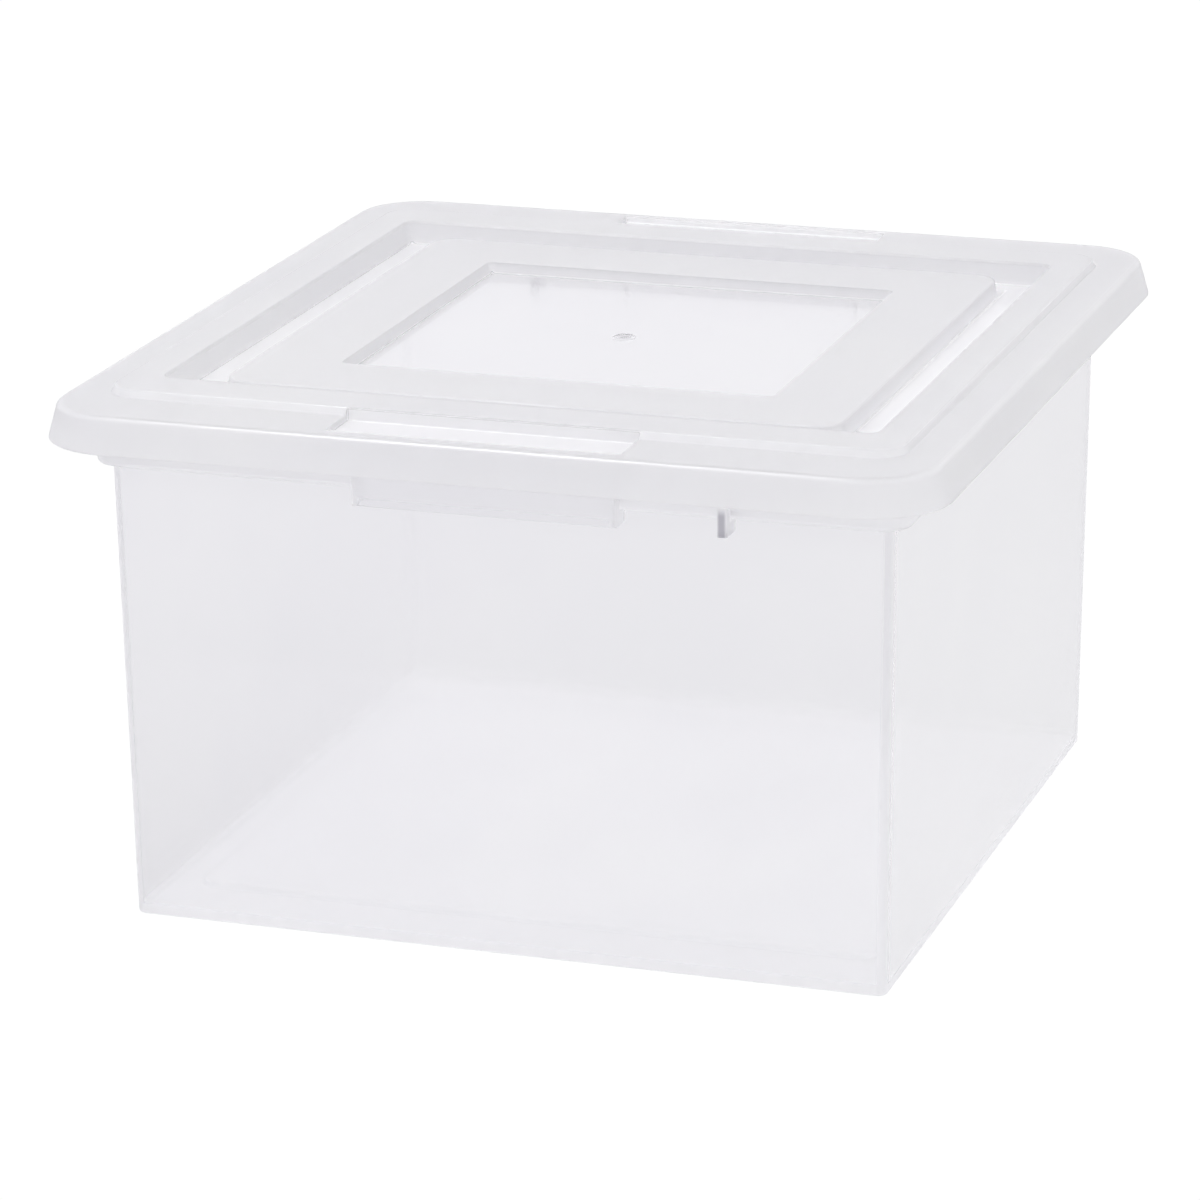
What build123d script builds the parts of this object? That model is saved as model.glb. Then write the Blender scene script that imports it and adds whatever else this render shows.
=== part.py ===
from build123d import *
import math
import os

# Letter/legal file box: one clear moulded tub and one clear moulded lid.
# Frame: origin at the middle of the footprint on the floor, +Z up,
# +X to the right, the front hand grip faces -Y. Millimetres.

os.makedirs("parts", exist_ok=True)

# ---------------------------------------------------------------- dimensions
WALL = 2.0                 # wall of the tub
FLOOR = 2.2                # floor of the tub

# tub, lower walls (outside half sizes at the floor and under the collar)
TUB_X0, TUB_Y0 = 200.0, 203.8
TUB_X1, TUB_Y1 = 203.6, 207.4
TUB_R0, TUB_R1 = 5.5, 7.0
FOOT_R = 1.6               # outside radius where the walls meet the floor

# raised middle of the floor
PAD_X, PAD_Y, PAD_R = 183.0, 163.0, 10.0
PAD_H = 2.6

# collar: the walls step out to make the ledge for hanging folders
COLLAR_Z = 242.0           # underside of the step
COLLAR_X0, COLLAR_Y0 = 211.4, 215.4
COLLAR_X1, COLLAR_Y1 = 212.2, 216.2
COLLAR_R = 15.0
LEDGE_T = 2.2

# rim flange with its turned-down edge
RIM_TOP = 274.1
RIM_T = 2.0
RIM_X, RIM_Y, RIM_R = 223.4, 239.6, 32.4
LIP_Z = 261.5
LIP_T = 1.8

# hand grip at the front and at the back
GRIP_X = 68.3              # half width of the apron
GRIP_Y = 222.0             # outside face of the apron
GRIP_Z = 234.6             # lower edge of the apron
GRIP_T = 2.2
APRON_R = 1.5              # rounding of the apron's outer edges
GRIP_WALL_Y = 207.4        # outside face of the wall behind the grip
DIP_X = 79.4               # half width of the lowered rim over the grip
DIP_TOP = 269.2

# upright rib beside the grip, and webs under the rim
RIB_X, RIB_T = 122.0, 5.0
RIB_R = 1.2
WEB_X = (100.0, 168.0)
WEB_T = 1.4

# lid
LID_T = 2.0
BAND_Z = 276.3             # top of the flat outer band
SKIRT_Z = 257.7            # lower edge of the skirt
BAND_X, BAND_Y, BAND_R = 227.0, 243.2, 36.0
SKIRT_X, SKIRT_Y, SKIRT_R = 232.6, 248.8, 43.0
BAND_EDGE_R = 3.6

RING_Z = 280.0             # top of the stacking ring
RING_X0, RING_Y0, RING_R0 = 207.2, 208.4, 17.0
RING_X1, RING_Y1, RING_R1 = 205.0, 204.6, 15.0
RING_EDGE_R = 1.1
MOAT_Z = 267.4             # floor of the channel inside the ring
MOAT_X0, MOAT_Y0, MOAT_R0 = 185.0, 175.5, 5.0
MOAT_X1, MOAT_Y1, MOAT_R1 = 186.0, 176.5, 6.0

FRAME_Z = 276.0
FRAME_X0, FRAME_Y0, FRAME_R0 = 163.2, 161.6, 15.0
FRAME_X1, FRAME_Y1, FRAME_R1 = 161.6, 160.0, 14.0
PANEL_Z = 270.4
PANEL_X0, PANEL_Y0, PANEL_R0 = 113.4, 110.6, 3.0
PANEL_X1, PANEL_Y1, PANEL_R1 = 115.4, 112.6, 4.0

POCKET_X = 76.0            # pockets in the band, over the hand grips
POCKET_YI, POCKET_YO = 204.6, 233.4
POCKET_Z = 273.2

GATE_R, GATE_D = 5.4, 1.2  # dimple at the moulding gate


# ------------------------------------------------------------------- helpers
def frustum(x0, y0, r0, z0, x1, y1, r1, z1):
    """Block with a rounded rectangular plan that tapers from z0 to z1."""
    a = Plane.XY.offset(z0) * RectangleRounded(2 * x0, 2 * y0, r0)
    b = Plane.XY.offset(z1) * RectangleRounded(2 * x1, 2 * y1, r1)
    return loft([a, b], ruled=True)


def slab(x, y, r, z0, z1):
    return frustum(x, y, r, z0, x, y, r, z1)


def block(x0, x1, y0, y1, z0, z1):
    return Pos((x0 + x1) / 2, (y0 + y1) / 2, (z0 + z1) / 2) * Box(
        x1 - x0, y1 - y0, z1 - z0)


def ring_edges(part, z, tol=0.02):
    """Edges that lie flat at height z."""
    return [e for e in part.edges()
            if abs(e.bounding_box().min.Z - z) < tol
            and abs(e.bounding_box().max.Z - z) < tol]


def front_edges(part, y, z_top, tol=0.02):
    """Edges of the face at y, without the one along z_top."""
    return [e for e in part.edges()
            if abs(e.bounding_box().min.Y - y) < tol
            and abs(e.bounding_box().max.Y - y) < tol
            and e.bounding_box().min.Z < z_top - tol]


def both_ends(shape_front):
    """The same feature at the front and, turned half a turn, at the back."""
    return [shape_front, Rot(0, 0, 180) * shape_front]


# ---------------------------------------------------------------------- tub
def make_body():
    # outside
    lower = frustum(TUB_X0, TUB_Y0, TUB_R0, 0,
                    TUB_X1, TUB_Y1, TUB_R1, COLLAR_Z + 1.0)
    lower = fillet(ring_edges(lower, 0.0), FOOT_R)
    collar = frustum(COLLAR_X0, COLLAR_Y0, COLLAR_R, COLLAR_Z,
                     COLLAR_X1, COLLAR_Y1, COLLAR_R, RIM_TOP)
    collar = fillet(ring_edges(collar, COLLAR_Z), 2.6)
    rim = slab(RIM_X, RIM_Y, RIM_R, LIP_Z, RIM_TOP)
    rim = fillet(ring_edges(rim, RIM_TOP), 1.8)
    rim -= slab(RIM_X - LIP_T, RIM_Y - LIP_T, RIM_R - LIP_T,
                LIP_Z - 1, RIM_TOP - RIM_T)
    outside = lower + collar + rim

    # hand grips: wall goes straight up, apron stands in front of it
    apron = block(-GRIP_X, GRIP_X, -GRIP_Y, -GRIP_WALL_Y + 3.0,
                  GRIP_Z, DIP_TOP - 1.0)
    apron = fillet(front_edges(apron, -GRIP_Y, DIP_TOP - 1.0), APRON_R)
    for s in both_ends(apron):
        outside += s
    for s in both_ends(block(-DIP_X - 2.2, DIP_X + 2.2, -RIM_Y + 1.0,
                             -COLLAR_Y0 + 3.0, DIP_TOP - RIM_T, RIM_TOP - 1.0)):
        outside += s

    # ribs and webs
    rib = block(RIB_X - RIB_T / 2, RIB_X + RIB_T / 2,
                -GRIP_Y, -TUB_Y1 + 1.5, GRIP_Z, RIM_TOP - 1.0)
    rib = fillet(front_edges(rib, -GRIP_Y, RIM_TOP - 1.0), RIB_R)
    for s in both_ends(rib):
        outside += s
    for x in WEB_X:
        for s in both_ends(block(x - WEB_T / 2, x + WEB_T / 2, -RIM_Y + 1.0,
                                 -COLLAR_Y1 + 1.0, LIP_Z + 2.0,
                                 RIM_TOP - 1.0)):
            outside += s

    # inside
    inner = frustum(TUB_X0 - WALL, TUB_Y0 - WALL, TUB_R0 - 1.6, FLOOR,
                    TUB_X1 - WALL, TUB_Y1 - WALL, TUB_R1 - 1.6,
                    COLLAR_Z + LEDGE_T + 0.5)
    inner = fillet(ring_edges(inner, FLOOR), 2.0)
    upper = frustum(COLLAR_X0 - WALL, COLLAR_Y0 - WALL, COLLAR_R - WALL,
                    COLLAR_Z + LEDGE_T,
                    COLLAR_X1 - WALL, COLLAR_Y1 - WALL, COLLAR_R - WALL,
                    RIM_TOP + 3.0)
    upper = fillet(ring_edges(upper, COLLAR_Z + LEDGE_T), 1.4)
    for s in both_ends(block(-GRIP_X, GRIP_X, -230, -GRIP_WALL_Y + WALL,
                             COLLAR_Z - 2.0, RIM_TOP + 5.0)):
        upper -= s
    hollow = inner + upper

    # raised middle of the floor, moulded at one thickness
    pad_top = frustum(PAD_X, PAD_Y, PAD_R, 0.5,
                      PAD_X - 1.2, PAD_Y - 1.2, PAD_R, FLOOR + PAD_H)
    pad_top = fillet(ring_edges(pad_top, FLOOR + PAD_H), 1.5)
    pad_under = frustum(PAD_X - 2.0, PAD_Y - 2.0, PAD_R - 2.0, -1.0,
                        PAD_X - 3.2, PAD_Y - 3.2, PAD_R - 2.0, PAD_H)
    pad_under = fillet(ring_edges(pad_under, PAD_H), 0.9)

    body = outside - hollow + pad_top - pad_under

    # finger space behind each apron, and the lowered rim above it
    for s in both_ends(block(-GRIP_X + GRIP_T, GRIP_X - GRIP_T,
                             -GRIP_Y + GRIP_T, -GRIP_WALL_Y,
                             GRIP_Z - 10, DIP_TOP - RIM_T)):
        body -= s
    for s in both_ends(block(-DIP_X, DIP_X, -260, -COLLAR_Y0 + 20.0,
                             DIP_TOP, RIM_TOP + 5)):
        body -= s
    return body


# ---------------------------------------------------------------------- lid
def make_lid():
    # upper faces
    band = frustum(SKIRT_X, SKIRT_Y, SKIRT_R, SKIRT_Z,
                   BAND_X, BAND_Y, BAND_R, BAND_Z)
    band = fillet(ring_edges(band, BAND_Z), BAND_EDGE_R)
    band = fillet(ring_edges(band, SKIRT_Z), 0.5)
    moat = frustum(MOAT_X0, MOAT_Y0, MOAT_R0, MOAT_Z,
                   MOAT_X1, MOAT_Y1, MOAT_R1, RING_Z)
    moat = fillet(ring_edges(moat, MOAT_Z), 1.0)
    ring = frustum(RING_X0, RING_Y0, RING_R0, BAND_Z - 1.0,
                   RING_X1, RING_Y1, RING_R1, RING_Z)
    ring = fillet(ring_edges(ring, RING_Z), RING_EDGE_R)
    mouth = frustum(MOAT_X1, MOAT_Y1, MOAT_R1, RING_Z - RING_EDGE_R,
                    MOAT_X1 + RING_EDGE_R, MOAT_Y1 + RING_EDGE_R,
                    MOAT_R1 + RING_EDGE_R, RING_Z + 0.001)
    frame = frustum(FRAME_X0, FRAME_Y0, FRAME_R0, MOAT_Z - 1.0,
                    FRAME_X1, FRAME_Y1, FRAME_R1, FRAME_Z)
    frame = fillet(ring_edges(frame, FRAME_Z), 1.2)
    panel = frustum(PANEL_X0, PANEL_Y0, PANEL_R0, PANEL_Z,
                    PANEL_X1, PANEL_Y1, PANEL_R1, FRAME_Z + 0.001)
    panel = fillet(ring_edges(panel, PANEL_Z), 1.0)

    # spaces under the lid
    t = LID_T
    under = frustum(SKIRT_X - t, SKIRT_Y - t, SKIRT_R - t, SKIRT_Z - 0.001,
                    BAND_X - t, BAND_Y - t, BAND_R - t, BAND_Z - t)
    under = fillet(ring_edges(under, BAND_Z - t), 1.4)
    under += frustum(RING_X0 - t, RING_Y0 - t, RING_R0 - t, BAND_Z - t - 1.0,
                     RING_X1 - t, RING_Y1 - t, RING_R1 - t, RING_Z - t)
    tub = frustum(MOAT_X0 + t, MOAT_Y0 + t, MOAT_R0 + t, MOAT_Z - t,
                  MOAT_X1 + t, MOAT_Y1 + t, MOAT_R1 + t, RING_Z + 5)
    tub = fillet(ring_edges(tub, MOAT_Z - t), 1.6)
    tub -= frustum(FRAME_X0 - t, FRAME_Y0 - t, FRAME_R0 - t, MOAT_Z - t - 1.0,
                   FRAME_X1 - t, FRAME_Y1 - t, FRAME_R1 - t, FRAME_Z - t)
    tub += frustum(PANEL_X0 + t, PANEL_Y0 + t, PANEL_R0 + t, PANEL_Z - t,
                   PANEL_X1 + t, PANEL_Y1 + t, PANEL_R1 + t, FRAME_Z + 1)
    for s in both_ends(block(-POCKET_X - t, POCKET_X + t, -POCKET_YO - t,
                             -POCKET_YI + t, POCKET_Z - t, RING_Z + 5)):
        tub += s
    under -= tub

    lid = band + ring - moat - mouth + frame - panel
    pocket = block(-POCKET_X, POCKET_X, -POCKET_YO, -POCKET_YI,
                   POCKET_Z, RING_Z + 5)
    pocket = fillet([e for e in pocket.edges()
                     if abs(e.bounding_box().min.Z - POCKET_Z) < 0.01
                     and abs(e.bounding_box().max.Z - POCKET_Z) < 0.01], 0.8)
    for s in both_ends(pocket):
        lid -= s
    lid -= under

    # gate mark in the middle of the panel
    ball_r = (GATE_R ** 2 + GATE_D ** 2) / (2 * GATE_D)
    boss = Pos(0, 0, PANEL_Z - LID_T) * Cylinder(GATE_R + 0.8, 1.8)
    lid += fillet(ring_edges(boss, PANEL_Z - LID_T - 0.9), 0.7)
    lid -= Pos(0, 0, PANEL_Z + ball_r - GATE_D) * Sphere(ball_r)
    return lid


body = make_body()
lid = make_lid()

for name, shape in (("box_body", body), ("lid", lid)):
    solids = shape.solids()
    print(name, "solids", len(solids), "volume", round(shape.volume),
          "valid", shape.is_valid if isinstance(shape.is_valid, bool) else shape.is_valid())
    shape.label = name
    export_step(shape, "parts/" + name + ".step")
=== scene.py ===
import bpy
import math
from mathutils import Matrix, Vector

# Clear letter/legal file box with a lift-off lid. Metres, CAD frame:
# the hand grip beside the rib faces -Y, +X is to its right, +Z up.

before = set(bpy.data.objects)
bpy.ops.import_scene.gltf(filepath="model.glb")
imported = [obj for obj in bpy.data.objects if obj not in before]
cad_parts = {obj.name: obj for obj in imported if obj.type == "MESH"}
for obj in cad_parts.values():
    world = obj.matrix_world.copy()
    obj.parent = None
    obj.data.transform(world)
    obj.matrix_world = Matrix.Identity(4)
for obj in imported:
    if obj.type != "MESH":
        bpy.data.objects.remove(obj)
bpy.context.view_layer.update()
scene = bpy.context.scene

# --------------------------------------------------------------------- camera
cam_data = bpy.data.cameras.new("camera")
cam_data.sensor_fit = "HORIZONTAL"
cam_data.sensor_width = 36.0
cam_data.lens = 156.22
cam_data.clip_start, cam_data.clip_end = 0.05, 60.0
cam = bpy.data.objects.new("camera", cam_data)
scene.collection.objects.link(cam)
right = Vector((0.94826581, 0.31732809, -0.00973879))
up = Vector((-0.08649025, 0.28772929, 0.95379835))
back = Vector((0.30546914, -0.90361205, 0.30028963))
m = Matrix((right, up, back)).transposed().to_4x4()
m.translation = Vector((0.83243, -2.50630, 0.95722))
cam.matrix_world = m
scene.camera = cam

# ------------------------------------------------------------- render settings
scene.view_settings.view_transform = "Standard"
scene.view_settings.look = "None"
scene.view_settings.exposure = 0.0
scene.cycles.max_bounces = 512
scene.cycles.transmission_bounces = 512
scene.cycles.glossy_bounces = 512
scene.cycles.diffuse_bounces = 128
scene.cycles.transparent_max_bounces = 48
scene.cycles.caustics_reflective = True
scene.cycles.caustics_refractive = True
scene.cycles.sample_clamp_indirect = 4.0
scene.cycles.blur_glossy = 0.0


# --------------------------------------------------------------- node helpers
class Nodes:
    """Short names for making and joining shader nodes."""

    def __init__(self, tree):
        self.t = tree
        self.t.nodes.clear()

    def new(self, kind, **sockets):
        n = self.t.nodes.new(kind)
        for k, v in sockets.items():
            setattr(n, k, v)
        return n

    def put(self, socket, value):
        if isinstance(value, bpy.types.NodeSocket):
            self.t.links.new(value, socket)
        else:
            socket.default_value = value

    def math(self, op, a, b=0.0, c=None, clamp=False):
        n = self.new("ShaderNodeMath", operation=op, use_clamp=clamp)
        self.put(n.inputs[0], a)
        self.put(n.inputs[1], b)
        if c is not None:
            self.put(n.inputs[2], c)
        return n.outputs[0]

    def ramp(self, value, lo, hi, a=0.0, b=1.0, kind="SMOOTHSTEP"):
        """value from lo..hi to a..b, held at both ends."""
        n = self.new("ShaderNodeMapRange", interpolation_type=kind, clamp=True)
        for s, v in zip(n.inputs[:5], (value, lo, hi, a, b)):
            self.put(s, v)
        return n.outputs[0]

    def mix(self, f, a, b):
        n = self.new("ShaderNodeMix", data_type="RGBA")
        self.put(n.inputs[0], f)
        self.put(n.inputs[6], a)
        self.put(n.inputs[7], b)
        return n.outputs[2]

    def noise(self, vector, scale, detail=3.0, rough=0.5, distort=0.0):
        n = self.new("ShaderNodeTexNoise")
        self.put(n.inputs["Vector"], vector)
        self.put(n.inputs["Scale"], scale)
        self.put(n.inputs["Detail"], detail)
        self.put(n.inputs["Roughness"], rough)
        self.put(n.inputs["Distortion"], distort)
        return n.outputs[0]

    def stretch(self, vector, scale):
        n = self.new("ShaderNodeMapping")
        self.put(n.inputs["Vector"], vector)
        self.put(n.inputs["Scale"], scale)
        return n.outputs[0]


def plastic(name, zones, clear, grained, wave_depth):
    """Milky clear plastic; clear and grained are (transmission, roughness)."""
    mat = bpy.data.materials.new(name)
    mat.use_nodes = True
    k = Nodes(mat.node_tree)
    out = k.new("ShaderNodeOutputMaterial")
    p = k.new("ShaderNodeBsdfPrincipled", distribution="MULTI_GGX")
    k.t.links.new(p.outputs[0], out.inputs["Surface"])
    p.inputs["IOR"].default_value = 1.49

    obj = k.new("ShaderNodeTexCoord").outputs["Object"]
    sep = k.new("ShaderNodeSeparateXYZ")
    k.put(sep.inputs[0], obj)
    matt, milky, dull, painted_zone_shade = zones(k, *sep.outputs)

    # faint uneven milkiness and flow streaks
    cloud = k.noise(obj, 9.0, 3.0, 0.55, 0.6)
    drift = k.noise(obj, 3.6, 2.0, 0.5, 1.2)
    streak = k.noise(k.stretch(obj, (22.0, 22.0, 3.0)), 1.0, 4.0, 0.6)
    tint = k.mix(k.ramp(cloud, 0.38, 0.62), (0.9890, 0.9880, 0.9940, 1),
                 (0.9985, 0.9980, 1.0, 1))
    tint = k.mix(k.math("MULTIPLY", k.ramp(streak, 0.5, 0.72), 0.5), tint,
                 (0.9860, 0.9850, 0.9920, 1))
    tint = k.mix(k.math("MULTIPLY", k.ramp(drift, 0.42, 0.56), 0.7), tint,
                 (0.9840, 0.9830, 0.9890, 1))

    # rounded upper edges: shinier, with a real coat, and whiter, a painted highlight, than the faces beside them
    nsep = k.new("ShaderNodeSeparateXYZ")
    k.put(nsep.inputs[0], k.new("ShaderNodeNewGeometry").outputs["Normal"])
    nz = nsep.outputs[2]
    edge = k.math("MULTIPLY", k.ramp(nz, 0.25, 0.45), k.ramp(nz, 0.95, 0.99, 1.0, 0.0))
    edge = k.math("MULTIPLY", edge, k.ramp(matt, 0.7, 0.9))
    z = sep.outputs[2]
    band = k.math("MULTIPLY", k.ramp(z, 0.2720, 0.2728), inside(k, z, 0.2766, 0.0003))
    far_out = k.math("MAXIMUM", k.math("ABSOLUTE", sep.outputs[0]),
                     k.math("SUBTRACT", k.math("ABSOLUTE", sep.outputs[1]), 0.010))
    gloss_and_painted_highlight = k.ramp(far_out, 0.190, 0.200, 0.8, 0.5)
    outer = k.math("MAXIMUM", k.math("ABSOLUTE", sep.outputs[0]), k.math("ABSOLUTE", sep.outputs[1]))
    ring = k.math("MULTIPLY", k.ramp(z, 0.2790, 0.2793), k.ramp(outer, 0.1940, 0.1960))
    edge = k.math("MULTIPLY", edge, k.math("MAXIMUM", k.math("MULTIPLY", band, 0.5), ring))
    k.put(p.inputs["Coat Weight"], k.math("MULTIPLY", edge, gloss_and_painted_highlight))

    # painted shade: the steep sides of the steps in the lid are darkened in the base colour
    painted_step_shade = k.math("MULTIPLY", k.ramp(k.math("ABSOLUTE", nz), 0.45, 0.60, 1.0, 0.0),
                   k.ramp(z, 0.2690, 0.2700))
    painted_step_shade = k.math("MULTIPLY", painted_step_shade, inside(k, outer, 0.2000))
    # most in the panel, least on the outside of the frame
    painted_step_shade = k.math("MULTIPLY", painted_step_shade, k.math("ADD", k.ramp(outer, 0.1200, 0.1400, 0.12, 0.03),
                                             k.ramp(outer, 0.1660, 0.1700, 0.0, 0.03)))
    # painted shade: the zones' shade and the step walls' shade pull the base colour towards a grey lilac
    shade = k.math("MAXIMUM", painted_zone_shade, painted_step_shade)
    k.put(p.inputs["Base Color"], k.mix(shade, tint, (0.42, 0.41, 0.46, 1)))

    t = k.ramp(matt, 0.0, 1.0, clear[0], grained[0], "LINEAR")
    # the rounded edges lose some transmission so they show whiter: a painted highlight
    t = k.math("SUBTRACT", t, k.math("MAXIMUM", milky, k.math("MULTIPLY", edge, k.math("MULTIPLY", gloss_and_painted_highlight, 0.5))))
    milk = k.math("MULTIPLY", k.math("MULTIPLY", cloud, 0.05), k.math("SUBTRACT", 1.0, t))
    k.put(p.inputs["Transmission Weight"], k.math("ADD", t, milk))

    # roughness: polished faces and rounded edges, grained faces, fine scuffs
    grain = k.noise(obj, 900.0, 2.0, 0.5)
    scuff = k.noise(k.stretch(obj, (60.0, 240.0, 240.0)), 1.0, 5.0, 0.7, 1.5)
    p.inputs["Coat Roughness"].default_value = 0.10
    r = k.ramp(matt, 0.0, 1.0, clear[1], grained[1], "LINEAR")
    r = k.math("ADD", r, dull)
    r = k.math("ADD", r, k.math("MULTIPLY", k.ramp(scuff, 0.5, 0.75), 0.03))
    r = k.math("ADD", r, k.math("MULTIPLY", grain, 0.02))
    k.put(p.inputs["Roughness"], r)

    # slow waviness of a thin moulded wall, and the grain
    wave = k.noise(obj, 14.0, 1.0, 0.5)
    b1 = k.new("ShaderNodeBump")
    b1.inputs["Strength"].default_value = 1.0
    b1.inputs["Distance"].default_value = wave_depth
    k.put(b1.inputs["Height"], wave)
    b2 = k.new("ShaderNodeBump")
    b2.inputs["Distance"].default_value = 0.00002
    k.put(b2.inputs["Strength"], k.ramp(matt, 0.0, 1.0, 0.05, 0.6, "LINEAR"))
    k.put(b2.inputs["Height"], grain)
    k.put(b2.inputs["Normal"], b1.outputs[0])
    k.put(p.inputs["Normal"], b2.outputs[0])
    return mat


def inside(k, value, edge, soft=0.0006):
    """1 where value is under edge, 0 beyond it."""
    return k.ramp(value, edge - soft, edge + soft, 1.0, 0.0)


def tub_zones(k, x, y, z):
    """Collar and rim duller than the walls; apron hazier; painted shade on the ribs, the apron, the corners and
    just under the lid's skirt.
    """
    ax = k.math("ABSOLUTE", x)
    ay = k.math("ABSOLUTE", y)
    collar = k.ramp(z, 0.2360, 0.2420)
    stands_out = k.math("MULTIPLY", k.ramp(ay, 0.2076, 0.2090), inside(k, z, 0.2620, 0.0010))
    apron = k.math("MULTIPLY", inside(k, ax, 0.0690), stands_out)
    right_of_grip = k.math("MULTIPLY", x, k.math("SIGN", k.math("MULTIPLY", y, -1.0)))
    off = k.math("ABSOLUTE", k.math("SUBTRACT", right_of_grip, 0.1220))
    upper = k.math("MULTIPLY", k.ramp(ay, 0.2162, 0.2172), inside(k, z, 0.2480, 0.0030))
    under = k.math("MULTIPLY", k.ramp(ay, 0.2078, 0.2086), inside(k, z, 0.2412, 0.0006))
    flank = k.math("MULTIPLY", inside(k, off, 0.0036, 0.0008), k.math("MAXIMUM", upper, under))
    rib = k.math("MULTIPLY", flank, inside(k, off, 0.0019, 0.0010))
    milky = k.math("ADD", k.math("MULTIPLY", apron, 0.02), k.math("MULTIPLY", rib, 0.35))
    # the rounded corners and the ends of the apron blur what is behind them
    lean = k.math("MULTIPLY", z, 0.0149)
    corner = k.math("MULTIPLY", k.ramp(k.math("SUBTRACT", ax, lean), 0.1942, 0.1962),
                    k.ramp(k.math("SUBTRACT", ay, lean), 0.1980, 0.2000))
    corner = k.math("MULTIPLY", corner, inside(k, z, 0.2400))
    # painted shade: the apron darkened, a painted shadow on the walls just under the lid's skirt, and the
    # rounded corners darkened more towards the top
    shade = k.math("MAXIMUM", k.math("MULTIPLY", apron, 0.035),
                   k.math("MULTIPLY", k.ramp(z, 0.2240, 0.2400), 0.026))
    shade = k.math("MAXIMUM", shade, k.math("MULTIPLY", corner, k.ramp(z, 0.02, 0.22, 0.05, 0.16)))
    ends = k.math("MULTIPLY", k.ramp(ax, 0.0640, 0.0665), k.math("MULTIPLY", inside(k, ax, 0.0700), stands_out))
    sole = inside(k, z, 0.0060, 0.0010)
    blurred = k.math("MAXIMUM", k.math("MAXIMUM", corner, ends), k.math("MAXIMUM", flank, sole))
    dull = k.math("MAXIMUM", k.math("MULTIPLY", apron, 0.05), k.math("MULTIPLY", blurred, 0.30))
    # painted shade: the rib darkened at its core, with a lighter grey halo of painted shade around it
    rib = k.math("MAXIMUM", rib, k.math("MULTIPLY", flank, 0.16))
    return collar, milky, dull, k.math("MAXIMUM", rib, shade)


def lid_zones(k, x, y, z):
    """Grained all over but for the flats of the panel, channel and pockets."""
    ax = k.math("ABSOLUTE", x)
    ay = k.math("ABSOLUTE", y)
    panel = k.math("MULTIPLY", inside(k, ax, 0.1128), inside(k, ay, 0.1100))
    panel = k.math("MULTIPLY", panel, inside(k, z, 0.2714, 0.0004))
    well = k.math("MULTIPLY", inside(k, ax, 0.1840), inside(k, ay, 0.1745))
    core = k.math("MULTIPLY", inside(k, ax, 0.1642), inside(k, ay, 0.1626))
    well = k.math("MULTIPLY", well, k.math("SUBTRACT", 1.0, core))
    well = k.math("MULTIPLY", well, inside(k, z, 0.2684, 0.0004))
    pocket = k.math("MULTIPLY", inside(k, ax, 0.0755),
                    k.math("MULTIPLY", inside(k, ay, 0.2352),
                           k.math("SUBTRACT", 1.0, inside(k, ay, 0.2020))))
    pocket = k.math("MULTIPLY", pocket, inside(k, z, 0.2792, 0.0004))
    clear = k.math("MAXIMUM", panel, k.math("MAXIMUM", well, pocket))
    # the foot of the frame's outer wall is as light as the channel floor
    foot = k.math("MULTIPLY", inside(k, ax, 0.1646), inside(k, ay, 0.1630))
    foot = k.math("MULTIPLY", foot, k.math("SUBTRACT", 1.0, k.math(
        "MULTIPLY", inside(k, ax, 0.1600), inside(k, ay, 0.1584))))
    foot = k.math("MULTIPLY", foot, inside(k, z, 0.2716, 0.0016))
    milky = k.math("ADD", k.math("MULTIPLY", pocket, 0.70),
                   k.math("MULTIPLY", well, 0.75))
    milky = k.math("ADD", milky, k.math("MULTIPLY", foot, 0.35))
    milky = k.math("ADD", milky, k.math("MULTIPLY", k.math("SUBTRACT", 1.0, clear), 0.03))
    # the flared skirt is a little hazier, most of all at its corners
    bend = k.math("MULTIPLY", k.ramp(ax, 0.1900, 0.2250), k.ramp(ay, 0.2060, 0.2410))
    haze = k.math("ADD", 0.04, k.math("MULTIPLY", bend, 0.10))
    skirt = k.math("MULTIPLY", k.ramp(k.math("MAXIMUM", ax, ay), 0.2120, 0.2150), inside(k, z, 0.2722))
    milky = k.math("ADD", milky, k.math("MULTIPLY", haze, skirt))
    # painted shade in the round gate dimple at the centre of the panel
    reach = k.math("SQRT", k.math("ADD", k.math("MULTIPLY", x, x), k.math("MULTIPLY", y, y)))
    gate = k.math("MULTIPLY", inside(k, reach, 0.0046, 0.0010), inside(k, z, 0.2704, 0.0004))
    # painted shade: the slanted outside of the stacking ring is darkened a little
    outer = k.math("MAXIMUM", ax, ay)
    slant = k.math("MULTIPLY", k.ramp(outer, 0.2042, 0.2052), inside(k, outer, 0.2090))
    slant = k.math("MULTIPLY", slant, k.ramp(z, 0.2764, 0.2770))
    slant = k.math("MULTIPLY", slant, k.math("SUBTRACT", 1.0, pocket))
    return (k.math("SUBTRACT", 1.0, clear), milky,
            k.math("MULTIPLY", pocket, 0.15),
            k.math("MAXIMUM", k.math("MULTIPLY", slant, 0.035), k.math("MULTIPLY", gate, 0.25)))


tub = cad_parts["box_body"]
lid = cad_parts["lid"]
for node, mat in ((tub, plastic("tub_clear_plastic", tub_zones, (1.0, 0.09), (1.0, 0.30), 0.00003)),
                  (lid, plastic("lid_clear_plastic", lid_zones, (1.0, 0.06), (0.66, 0.28), 0.00001))):
    node.data.materials.clear()
    node.data.materials.append(mat)

# --------------------------------------------------------------------- studio
# strength of each part of the studio, as the box sees it
STUDIO = {
    "front_left": 0.71, "front_right": 0.94,
    "back_left": 1.00, "back_right": 1.00, "top": 0.89,
    "floor_front_left": 0.71, "floor_front_right": 0.82,
    "floor_back_left": 0.87, "floor_back_right": 0.85, "floor_under": 0.88,
    "overhead": 10.0,
}


COOL_LEFT = (0.974, 0.967, 1.0, 1)
COOL_RIGHT = (0.986, 0.984, 1.0, 1)


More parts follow.
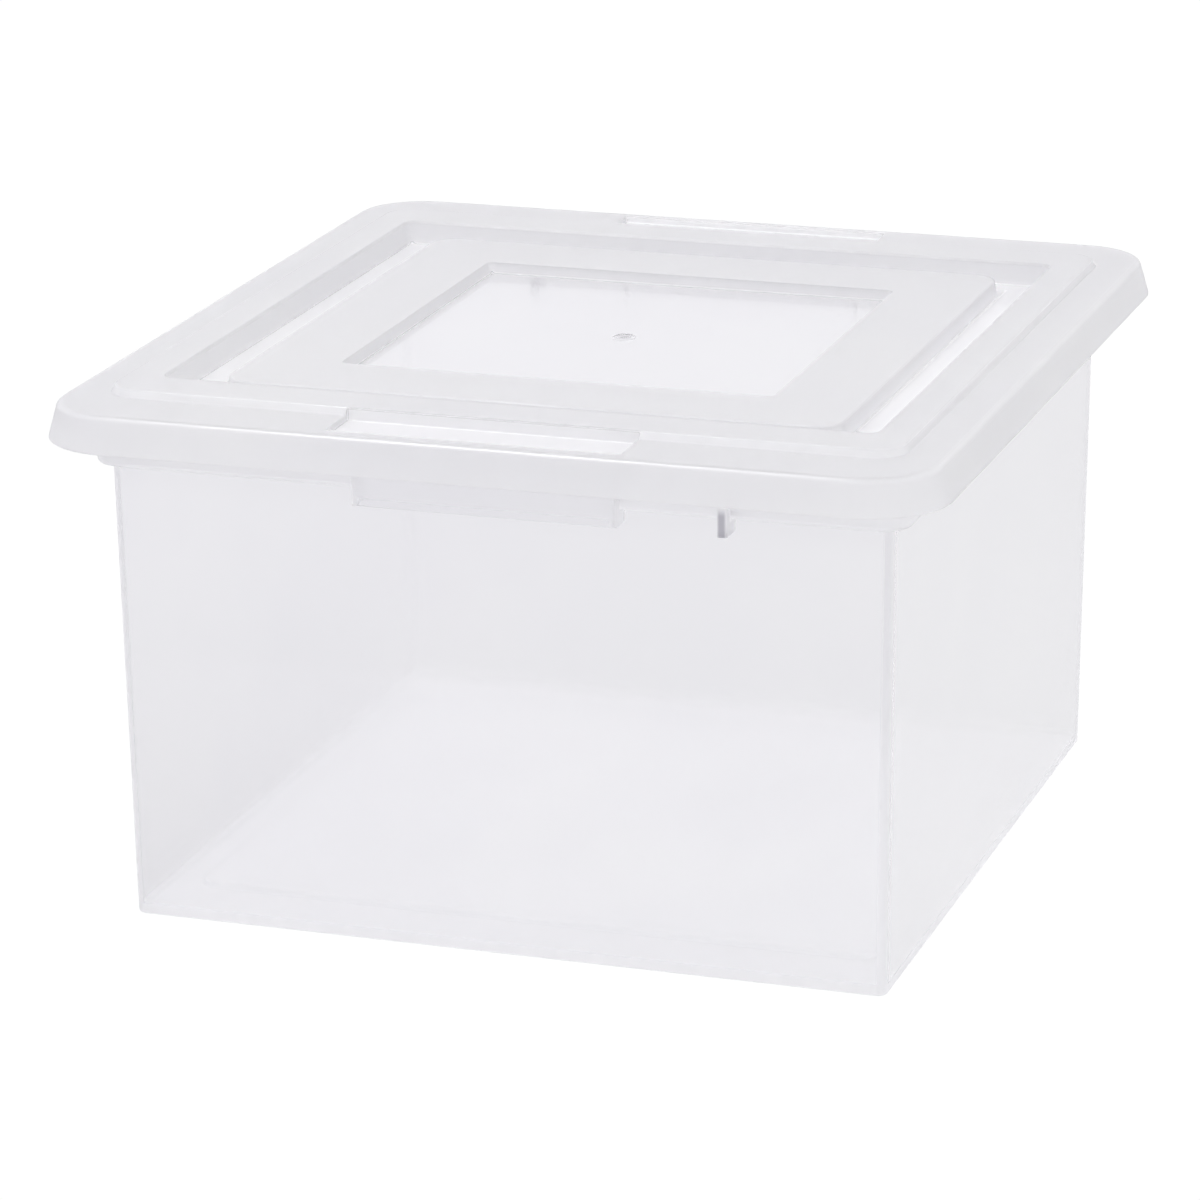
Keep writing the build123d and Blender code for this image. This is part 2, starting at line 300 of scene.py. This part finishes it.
def quarters(k, u, v, span, names):
    """Blend of four strengths over the quarters of the u, v plane."""
    r = k.ramp(u, -span, span)
    f = k.ramp(v, -span, span)
    front = k.math("ADD", k.math("MULTIPLY", r, STUDIO[names[1]]),
                   k.math("MULTIPLY", k.math("SUBTRACT", 1.0, r), STUDIO[names[0]]))
    rear = k.math("ADD", k.math("MULTIPLY", r, STUDIO[names[3]]),
                  k.math("MULTIPLY", k.math("SUBTRACT", 1.0, r), STUDIO[names[2]]))
    return k.math("ADD", k.math("MULTIPLY", f, rear),
                  k.math("MULTIPLY", k.math("SUBTRACT", 1.0, f), front))


floor_mat = bpy.data.materials.new("floor")
floor_mat.use_nodes = True
k = Nodes(floor_mat.node_tree)
out = k.new("ShaderNodeOutputMaterial")
p = k.new("ShaderNodeEmission")
path = k.new("ShaderNodeLightPath")
sep = k.new("ShaderNodeSeparateXYZ")
k.put(sep.inputs[0], k.new("ShaderNodeTexCoord").outputs["Object"])
reach = k.math("MAXIMUM", k.math("ABSOLUTE", sep.outputs[0]),
               k.math("ABSOLUTE", sep.outputs[1]))
under = k.ramp(reach, 0.19, 0.215, 1.0, 0.0)
pool = quarters(k, sep.outputs[0], sep.outputs[1], 0.5,
                ("floor_front_left", "floor_front_right", "floor_back_left", "floor_back_right"))
pool = k.math("ADD", k.math("MULTIPLY", under, STUDIO["floor_under"]),
              k.math("MULTIPLY", k.math("SUBTRACT", 1.0, under), pool))
k.put(p.inputs["Strength"],
      k.ramp(path.outputs["Is Camera Ray"], 0.0, 1.0, pool, 1.02, "LINEAR"))
k.put(p.inputs["Color"],
      k.mix(path.outputs["Is Camera Ray"],
            k.mix(k.ramp(sep.outputs[0], -0.5, 0.5), COOL_LEFT, COOL_RIGHT), (1, 1, 1, 1)))
k.t.links.new(p.outputs[0], out.inputs["Surface"])
bpy.ops.mesh.primitive_plane_add(size=40.0, location=(0, 0, -0.0005))
floor = bpy.context.object
floor.name = "floor"
floor.data.materials.append(floor_mat)

world = bpy.data.worlds.new("studio")
scene.world = world
world.use_nodes = True
k = Nodes(world.node_tree)
out = k.new("ShaderNodeOutputWorld")
bg = k.new("ShaderNodeBackground")
sep = k.new("ShaderNodeSeparateXYZ")
k.put(sep.inputs[0], k.new("ShaderNodeTexCoord").outputs["Generated"])
dx, dy, dz = sep.outputs
walls = quarters(k, dx, dy, 0.5, ("front_left", "front_right", "back_left", "back_right"))
top = k.ramp(dz, 0.25, 0.70)
k.put(bg.inputs["Strength"],
      k.math("ADD", k.math("MULTIPLY", top, STUDIO["top"]),
             k.math("MULTIPLY", k.math("SUBTRACT", 1.0, top), walls)))
k.put(bg.inputs["Color"], k.mix(k.ramp(dx, -0.5, 0.5), COOL_LEFT, COOL_RIGHT))
k.t.links.new(bg.outputs[0], out.inputs["Surface"])


def softbox(name, place, target, size, power):
    d = bpy.data.lights.new(name, "AREA")
    d.shape = "RECTANGLE"
    d.size, d.size_y = size
    d.energy = power
    o = bpy.data.objects.new(name, d)
    scene.collection.objects.link(o)
    o.location = place
    o.rotation_mode = "QUATERNION"
    o.rotation_quaternion = (Vector(target) - Vector(place)).to_track_quat("-Z", "Y")
    return o


softbox("overhead", (-0.70, -0.66, 2.25), (0, 0, 0.27), (0.5, 0.5), STUDIO["overhead"])
